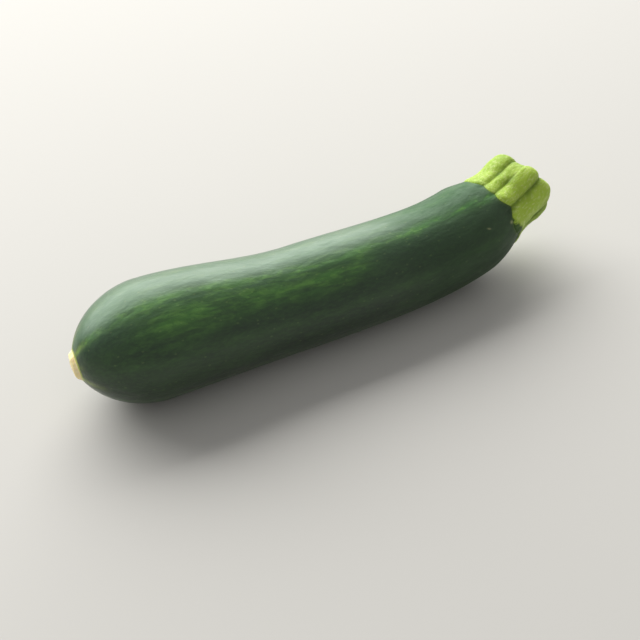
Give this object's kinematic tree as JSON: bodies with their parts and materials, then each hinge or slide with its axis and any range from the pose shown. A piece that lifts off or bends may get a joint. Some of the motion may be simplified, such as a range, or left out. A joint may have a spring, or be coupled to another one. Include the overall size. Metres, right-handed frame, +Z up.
{
  "type": "courgette",
  "caption": "Gently curved dark green courgette lying on its side, fatter and domed at the blossom end, with a short ribbed stub of pale green stem.",
  "frame": {"origin": "on the surface that the courgette rests on, under the middle of its bounding box", "axes": "+Z up, +X along the courgette from the blossom end towards the stem, +Y on the inside of its curve"},
  "size_m": [0.2046, 0.0472, 0.0466],
  "materials": {
    "skin": "satin",
    "stem": "matte"
  },
  "bodies": {
    "root": {"fruit": "skin", "stem": "stem"}
  },
  "joints": []
}
